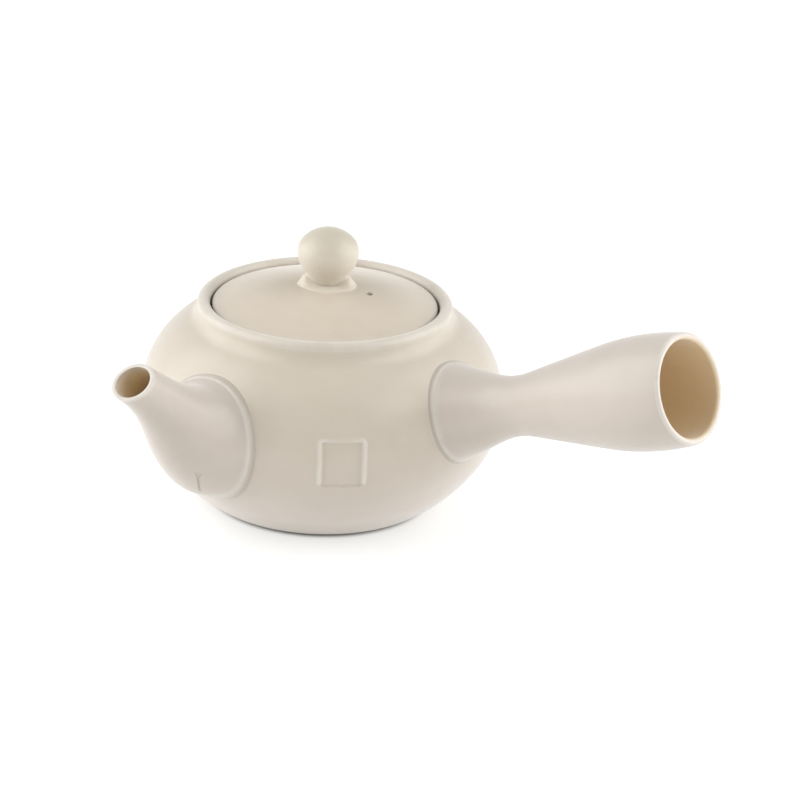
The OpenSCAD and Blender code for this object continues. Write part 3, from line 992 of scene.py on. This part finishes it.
class KYUSU_OT_side_handle(Operator):
    """Models the hollow handle with a thin flange seated on the body"""

    bl_idname = "kyusu.side_handle"
    bl_label = "Side handle"

    sides = 120
    cone_rows, back_rows, half_lip = 12, 5, 5
    # Painted highlight up the cone from the flange edge, fading row by row
    cone_rubbed, cone_fade, cone_pull = 0.75, 0.5, 0.55
    # Warm bore tone inside, painted bounce light, and painted shade inside the bore
    bore_share = 0.8
    bore_stain = 0.1
    # Painted shade on the sides that face down
    low_stain = 0.28

    def execute(self, context):
        handle = context.scene.kyusu_handle
        self.handle = handle
        self.axis = Branch(Pot(context.scene.kyusu_body), 0, handle.rise, handle.lift)
        self.turns = turns_of(self.sides)
        piece = wrap_rings("side_handle_clay", self.rows())
        stain_below(piece, self.low_stain)
        smooth(piece, degrees=50)
        looks = context.scene.kyusu_clay
        finish = clay_finish("handle_clay", looks.cool, looks.cool, handle.rise - QUARTER_TURN)
        seat_piece(piece, "pot", "side_handle", finish)
        return {"FINISHED"}

    def ring(self, p):
        """Ring of points for one point of the outline."""
        return [self.axis.at(t, p.x, p.y) for t in self.turns]

    def rows(self):
        """All rows from the seat over the outside and back through the bore, with their marks."""
        handle = self.handle
        outer, inner = self.outline(0), self.outline(handle.wall)
        rows = self.axis.flange(handle, self.turns)
        cone = self.foot_rows(outer[0], edge_top(handle), handle.step, self.cone_rows)
        for k, row in enumerate(cone):
            rows.append((row, 0, max(0, self.cone_rubbed - self.cone_fade * k), 0))
        rows += [(self.ring(p), 0, 0, 0) for p in outer]
        middle = (outer[-1] + inner[-1]) / 2
        half = self.half_lip
        for k in range(1, 2 * half):
            p = middle + handle.wall / 2 * ray(math.pi * k / (2 * half))
            tone = self.bore_share * max(0, k - half) / (half - 1)
            rows.append((self.ring(p), tone, LIP_RUBBED, 0))
        seat = handle.flange - handle.wall
        back = self.foot_rows(inner[0], seat, -SEAT_SINK, self.back_rows)
        inside = [self.ring(p) for p in reversed(inner)] + back[::-1]
        return rows + [(row, self.bore_share, 0, self.bore_stain) for row in inside]

    def outline(self, inset):
        """Outline from the end of the base cone to the open end, as radius and distance."""
        handle = self.handle
        root = Vector((handle.waist + handle.root_arc, handle.waist_at))
        neck = Vector((handle.waist + handle.neck_arc, handle.waist_at))
        grip = Vector((handle.grip - handle.grip_arc, handle.grip_at))
        reach = grip - neck
        slope = math.asin((handle.neck_arc + handle.grip_arc) / reach.length)
        slope -= math.atan2(-reach.x, reach.y)
        lip_at = handle.end_at - handle.wall / 2
        end_turn = math.asin((lip_at - handle.grip_at) / (handle.grip_arc - inset))
        points = arc(root, handle.root_arc + inset, math.pi + handle.flare, math.pi, 10)
        points += arc(neck, handle.neck_arc + inset, math.pi, math.pi - slope, 8)[1:]
        points += arc(grip, handle.grip_arc - inset, -slope, end_turn, 24)
        return points

    def foot_rows(self, top, radius, gap, count):
        """Rows of the soft curve from the flange to the end of the base cone."""
        axis, flare = self.axis, self.handle.flare
        rows = [[] for _ in range(count)]
        for t in self.turns:
            foot, head = axis.landed(t, radius, gap), axis.at(t, top.x, top.y)
            slant = axis.way * math.cos(flare) - axis.spoke(t) * math.sin(flare)
            bend = head - slant * ((head - foot).length * self.cone_pull)
            for k, row in enumerate(rows):
                row.append(bow(foot, bend, head, k / count))
        return rows


class KYUSU_OT_strainer(Operator):
    """Gives the pierced thimble behind the spout its clay"""

    bl_idname = "kyusu.strainer"
    bl_label = "Strainer"

    def execute(self, context):
        looks = context.scene.kyusu_clay
        finish = clay_finish("strainer_clay", looks.warm, looks.warm)
        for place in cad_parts["spout_strainer"].material_slots:
            place.material = finish
        return {"FINISHED"}


class LidShape:
    """Arcs of the lid."""

    def __init__(self, sizes, pot):
        self.radius = pot.seat - sizes.gap
        self.top = pot.ledge + sizes.edge + sizes.rise
        self.dome = (self.radius**2 + sizes.rise**2) / (2 * sizes.rise)
        self.dome_z = self.top - self.dome
        round_x = self.radius - sizes.rounding
        round_rise = math.sqrt((self.dome - sizes.rounding) ** 2 - round_x**2)
        self.round_c = Vector((round_x, self.dome_z + round_rise))
        self.vent_z = self.dome_z + math.sqrt(self.dome**2 - sizes.vent_reach**2)
        self.vent = sizes.vent_reach * ray(sizes.vent_turn)


class KYUSU_OT_lid(Operator):
    """Throws the domed lid with its locating ring and pierces the vent"""

    bl_idname = "kyusu.lid"
    bl_label = "Lid"

    steps = 240
    # Warm bore tone, painted bounce light, on the locating ring
    ring_tone = 0.2

    # Shares of the lid's radius where the painted highlight, trimming and the painted shade on the
    # edge start
    worn_from = 0.7
    edge_from = 0.94
    trim_from, trim_full = 0.9, 0.98
    stain_from = 0.995
    rubbed = 0.3

    # Height of the painted shade on the edge above the start of its rounding, as a share of that
    # rounding
    stain_up = 0.3

    # Painted shade round the knob, and its reach as a share of the pad's radius
    pad_stain = 0.16
    pad_stain_to = 2.2

    # Depth, height and width of the vent's opened mouth, as shares of its radius
    mouth_deep, mouth_high, mouth_wide = 0.4, 0.9, 1.25

    def execute(self, context):
        sizes = context.scene.kyusu_lid
        pot = Pot(context.scene.kyusu_body)
        shape = LidShape(sizes, pot)
        piece = lathe("lid_clay", self.outline(sizes, pot, shape), self.steps)
        self.pierce(piece, sizes, shape)
        mark_points(piece, "bore", lambda p: self.ring_tone if p.z < pot.ledge else 0)
        mark_points(piece, "rubbed", lambda p: self.wear(from_axis(p) / shape.radius))
        mark_points(piece, "stain", lambda p: self.stain(p, sizes, shape))
        self.trim_edge(piece, sizes, shape)
        smooth(piece)
        looks = context.scene.kyusu_clay
        seat_piece(piece, "lid", "lid", clay_finish("lid_clay", looks.lid, looks.lid))
        return {"FINISHED"}

    def trim_edge(self, piece, sizes, shape):
        """Moves the edge beyond the locating ring off centre, as trimming by hand leaves it."""
        way = heading(sizes.edge_turn)
        for vertex in piece.data.vertices:
            out = from_axis(vertex.co) / shape.radius - self.trim_from
            vertex.co += way * (sizes.edge_shift * clamp(out / (self.trim_full - self.trim_from)))

    def wear(self, out):
        """Painted highlight that grows towards the edge of the lid."""
        near = max(0, (out - self.worn_from) / (1 - self.worn_from))
        edge = max(0, (out - self.edge_from) / (1 - self.edge_from))
        return self.rubbed * near**2 + self.rubbed * edge

    def stain(self, p, sizes, shape):
        """Painted shade round the knob, full in the vent and on the upright edge."""
        in_vent = (p.xy - shape.vent).length < 2 * sizes.vent and p.z < shape.vent_z - sizes.vent
        edge_top = shape.round_c.y + self.stain_up * sizes.rounding
        if in_vent or from_axis(p) > self.stain_from * shape.radius and p.z < edge_top:
            return 1
        return self.pad_stain * (self.pad_stain_to - from_axis(p) / sizes.pad)

    def outline(self, sizes, pot, shape):
        """Outline from the middle of the underside to the middle of the top."""
        dome = Vector((0, shape.dome_z))
        under = shape.dome - sizes.wall
        ring = pot.throat - sizes.ring_gap
        inner = ring - sizes.ring_wall
        soft = sizes.ring_wall / 2
        low = pot.ledge - sizes.ring_depth + soft
        r = sizes.low_round
        round_turn = turn_of(shape.round_c - dome)
        points = arc(dome, under, QUARTER_TURN, math.acos(inner / under), 14)
        points += line(points[-1], (inner, low), 4)
        points += arc((inner + soft, low), soft, math.pi, FULL_TURN, 10)[1:]
        points += line(points[-1], (ring, pot.ledge - r), 4)
        points += line(points[-1], (ring + r, pot.ledge), 1)
        points += line(points[-1], (shape.radius - r, pot.ledge), 3)
        points += arc((shape.radius - r, pot.ledge + r), r, -QUARTER_TURN, 0, 4)[1:]
        points += line(points[-1], (shape.radius, shape.round_c.y), 2)
        points += arc(shape.round_c, sizes.rounding, 0, round_turn, 7)[1:]
        points += arc(dome, shape.dome, round_turn, QUARTER_TURN, 34)[1:]
        return points

    def pierce(self, piece, sizes, shape):
        """Cuts the vent with a slightly opened mouth."""
        place = (*shape.vent, shape.vent_z - 2 * sizes.wall)
        bpy.ops.mesh.primitive_cylinder_add(
            vertices=40, radius=sizes.vent, depth=4 * sizes.wall, location=place
        )
        cutter = bpy.context.object
        edit_faces(cutter, lambda face: face.normal.z > 0.9)
        bpy.ops.transform.translate(value=UP * (-self.mouth_deep * sizes.vent))
        bpy.ops.mesh.extrude_region_move(
            TRANSFORM_OT_translate={"value": UP * (self.mouth_high * sizes.vent)}
        )
        bpy.ops.transform.resize(value=(self.mouth_wide, self.mouth_wide, 1))
        bpy.ops.object.mode_set(mode="OBJECT")
        bpy.ops.object.transform_apply(location=True, rotation=True, scale=True)
        cut_away(piece, cutter)


class KYUSU_OT_knob(Operator):
    """Throws the ball knob on its soft pad"""

    bl_idname = "kyusu.knob"
    bl_label = "Knob"

    steps = 160
    # Painted shade on the top and on the neck under the ball
    top_stain = 0.5
    neck_stain = 0.1

    # Bends, ends and point counts of the pad's outline, in shares of its width and height
    pad_bows = (((0.77, -0.09), (0.62, 0.22), 6), ((0.4, 0.72), (0.06, 0.9), 7))
    pad_crease = (0.0, 0.96)

    # Low pad, the shares of neck and height that bound what is pressed, lumps as turn, width
    # and height, and ripples as count, shift and size
    pad_low = 0.1
    pad_from, pad_top = 0.8, 1.001
    lumps = ((217, 0.5, 0.95), (34, 0.45, 0.85))
    height_ripples = ((3, 0, 0.03), (7, 1, 0.03))
    pad_edge = 0.97
    edge_ripples = ((2, 0.6, 0.03), (5, 1.1, 0.02))

    def execute(self, context):
        sizes = context.scene.kyusu_lid
        shape = LidShape(sizes, Pot(context.scene.kyusu_body))
        piece = lathe("lid_knob_clay", self.outline(sizes, shape), self.steps)
        self.smear_pad(piece, sizes, shape)
        edit_all()
        bpy.ops.transform.translate(value=heading(sizes.knob_shift_turn) * sizes.knob_shift)
        bpy.ops.object.mode_set(mode="OBJECT")
        mark_points(piece, "stain", lambda p: self.stain(p.z - shape.top, sizes))
        smooth(piece, degrees=60)
        looks = context.scene.kyusu_clay
        seat_piece(piece, "lid", "lid_knob", clay_finish("knob_clay", looks.knob, looks.knob))
        return {"FINISHED"}

    def stain(self, height, sizes):
        """Painted shade at the neck above the pad, and on the top."""
        up = height - sizes.pad_height
        if up < 0:
            return 0
        top = (height - sizes.knob_waist) / sizes.knob_cap
        neck = 1 - 2 * up / (sizes.knob_waist - sizes.pad_height)
        return max(self.top_stain * top, self.neck_stain * neck)

    def ripple(self, turn, ripples):
        """Sum of small waves at a turn."""
        return sum(size * math.sin(count * turn + shift) for count, shift, size in ripples)

    def pad_share(self, turn):
        """Share of the full pad height at a turn, high where thumbs pressed the clay up."""
        share = self.pad_low + self.ripple(turn, self.height_ripples)
        for lump, wide, high in self.lumps:
            away = abs((turn - math.radians(lump) + math.pi) % FULL_TURN - math.pi)
            share += (high - self.pad_low) * math.exp(-((away / wide) ** 2))
        return share

    def smear_pad(self, piece, sizes, shape):
        """Presses the even pad down to its height at each turn, along the side of the knob."""
        neck = self.neck(sizes, shape)
        rise = sizes.pad_height
        for vertex in piece.data.vertices:
            up = (vertex.co.z - shape.top) / rise
            radius, turn = from_axis(vertex.co), turn_of(vertex.co)
            if up > self.pad_top or radius < self.pad_from * neck.x:
                continue
            share = self.pad_share(turn)
            out = (radius - neck.x) / (sizes.pad - neck.x)
            inner = neck.x - (1 - share) * rise * math.tan(sizes.knob_taper)
            edge = sizes.pad * (self.pad_edge + self.ripple(turn, self.edge_ripples))
            vertex.co.xy *= (inner + out * (edge - inner)) / radius
            if up > 0:
                vertex.co.z = shape.top + up * share * rise

    def low_curve(self, sizes, shape):
        """Centre of the low arc and the point where it runs into the straight taper."""
        low = Vector((sizes.knob - sizes.knob_low_arc, shape.top + sizes.knob_waist))
        return low, low + sizes.knob_low_arc * ray(-sizes.knob_taper)

    def neck(self, sizes, shape):
        """Point of the taper where the full pad meets the knob."""
        _, taper = self.low_curve(sizes, shape)
        drop = taper.y - shape.top - sizes.pad_height
        return taper - Vector((drop * math.tan(sizes.knob_taper), drop))

    def outline(self, sizes, shape):
        """Outline from the middle of the pad's seat to the top."""
        waist = shape.top + sizes.knob_waist
        side_x = sizes.knob - sizes.knob_side_arc
        spare = sizes.knob_cap - sizes.knob_side_arc
        cap = (side_x**2 + sizes.knob_cap**2 - sizes.knob_side_arc**2) / (2 * spare)
        cap_z = waist + sizes.knob_cap - cap
        cap_turn = math.atan2(waist - cap_z, side_x)
        low, taper = self.low_curve(sizes, shape)
        neck = self.neck(sizes, shape)

        def smear(out, up):
            wide = sizes.pad - neck.x
            return Vector((neck.x + out * wide, shape.top + up * sizes.pad_height))

        sunk = shape.dome - SEAT_SINK
        points = arc((0, shape.dome_z), sunk, QUARTER_TURN, math.acos(sizes.pad / sunk), 8)
        for bend, end, count in self.pad_bows:
            start, bend, end = points[-1], smear(*bend), smear(*end)
            points += [bow(start, bend, end, k / count) for k in range(1, count + 1)]
        points += [smear(*self.pad_crease), neck] + line(neck, taper, 4)
        points += arc(low, sizes.knob_low_arc, -sizes.knob_taper, 0, 8)[1:]
        points += arc((side_x, waist), sizes.knob_side_arc, 0, cap_turn, 10)[1:]
        points += arc((0, cap_z), cap, cap_turn, QUARTER_TURN, 10)[1:]
        return points


class KYUSU_OT_stage(Operator):
    """Sets the pale floor, the soft light and the camera"""

    bl_idname = "kyusu.stage"
    bl_label = "Stage"

    floor_roughness = 0.9
    sensor = 36
    clip_near, clip_far = 0.05, 60

    def execute(self, context):
        stage = context.scene.kyusu_stage
        self.lay_floor(stage)
        self.light(context.scene, stage)
        self.aim_camera(context.scene, stage)
        context.scene.view_settings.view_transform = "Standard"
        return {"FINISHED"}

    def lay_floor(self, stage):
        """Lays the glowing floor, whose glow fades out towards the foot as a painted contact
        shadow.
        """
        bpy.ops.mesh.primitive_plane_add(size=stage.floor_size, location=(0, 0, 0))
        floor = named("floor")
        material, inputs, start = new_material("pale_floor")
        inputs["Base Color"].default_value = opaque(stage.floor)
        inputs["Roughness"].default_value = self.floor_roughness
        inputs["Specular IOR Level"].default_value = 0.0
        place = start.node("ShaderNodeTexCoord", out=3)
        away = start.node("ShaderNodeVectorMath", {"operation": "LENGTH"}, out=1, i0=place)
        # Painted contact shadow: no glow near the foot
        lit = away.between(stage.glow_from, stage.glow_to)
        lit.mix(opaque((0, 0, 0)), opaque((1, 1, 1))).into(inputs["Emission Color"])
        inputs["Emission Strength"].default_value = stage.glow
        floor.data.materials.append(material)

    def light(self, scene, stage):
        """Sets the white surroundings and a soft light on each side."""
        world = scene.world or bpy.data.worlds.new("studio")
        scene.world = world
        world.use_nodes = True
        sky = next(n for n in world.node_tree.nodes if n.type == "BACKGROUND")
        sky.inputs["Color"].default_value = opaque((1, 1, 1))
        sky.inputs["Strength"].default_value = stage.sky
        right = heading(stage.turn)
        front = right.cross(UP)
        for name, reach, power in (
            ("left_light", -stage.left_reach, stage.left_power),
            ("right_light", stage.right_reach, stage.right_power),
        ):
            place = reach * right + stage.light_front * front + stage.light_height * UP
            bpy.ops.object.light_add(type="AREA", location=place)
            lamp = named(name)
            lamp.data.shape = "SQUARE"
            lamp.data.size = stage.light_size
            lamp.data.energy = power
            lamp.rotation_euler = (UP * stage.aim_z - place).to_track_quat("-Z", "Y").to_euler()

    def aim_camera(self, scene, stage):
        """Places the camera so that the aim point falls on its image column and row."""
        bpy.ops.object.camera_add()
        camera = named("camera")
        middle = stage.image / 2
        right = Vector((1, 0, 0))
        ahead = Vector((0, math.cos(stage.rise), -math.sin(stage.rise)))
        above = Vector((0, math.sin(stage.rise), math.cos(stage.rise)))
        x = math.cos(stage.roll) * right + math.sin(stage.roll) * above
        y = -math.sin(stage.roll) * right + math.cos(stage.roll) * above
        scale = stage.distance / stage.focus
        place = UP * stage.aim_z - ahead * stage.distance
        place -= x * ((stage.aim_u - middle) * scale) - y * ((stage.aim_v - middle) * scale)
        pose = Matrix((x, y, -ahead)).transposed().to_4x4()
        pose.translation = place
        camera.matrix_world = Matrix.Rotation(stage.turn, 4, "Z") @ pose
        camera.data.sensor_width = self.sensor
        camera.data.sensor_fit = "HORIZONTAL"
        camera.data.lens = stage.focus / stage.image * self.sensor
        camera.data.clip_start = self.clip_near
        camera.data.clip_end = self.clip_far
        scene.camera = camera


OPERATORS = (
    KYUSU_OT_stage,
    KYUSU_OT_pot_body,
    KYUSU_OT_spout,
    KYUSU_OT_strainer,
    KYUSU_OT_side_handle,
    KYUSU_OT_lid,
    KYUSU_OT_knob,
)

GROUPS = {
    "kyusu_body": KyusuBodySizes,
    "kyusu_lid": KyusuLidSizes,
    "kyusu_spout": KyusuSpoutSizes,
    "kyusu_handle": KyusuHandleSizes,
    "kyusu_clay": KyusuClay,
    "kyusu_stage": KyusuStage,
}


class KYUSU_PT_panel(Panel):
    """Lists the pieces and their sizes"""

    bl_idname = "KYUSU_PT_panel"
    bl_label = "Kyusu teapot"
    bl_space_type = "VIEW_3D"
    bl_region_type = "UI"
    bl_category = "Kyusu"

    def draw(self, context):
        for step in OPERATORS:
            self.layout.operator(step.bl_idname)
        for name, group in GROUPS.items():
            box = self.layout.box()
            box.label(text=group.__doc__)
            for key in group.__annotations__:
                box.prop(getattr(context.scene, name), key)


def register():
    """Adds the properties, the operators and the panel."""
    for name, group in GROUPS.items():
        bpy.utils.register_class(group)
        setattr(bpy.types.Scene, name, PointerProperty(type=group))
    for step in OPERATORS:
        bpy.utils.register_class(step)
    bpy.utils.register_class(KYUSU_PT_panel)


def unregister():
    """Takes the panel, the operators and the properties away again."""
    bpy.utils.unregister_class(KYUSU_PT_panel)
    for step in reversed(OPERATORS):
        bpy.utils.unregister_class(step)
    for name, group in GROUPS.items():
        delattr(bpy.types.Scene, name)
        bpy.utils.unregister_class(group)


def main():
    """Builds the stage and every piece."""
    register()
    bpy.ops.kyusu.stage()
    bpy.ops.kyusu.pot_body()
    bpy.ops.kyusu.spout()
    bpy.ops.kyusu.strainer()
    bpy.ops.kyusu.side_handle()
    bpy.ops.kyusu.lid()
    bpy.ops.kyusu.knob()
    bpy.context.view_layer.update()


if __name__ == "__main__":
    main()
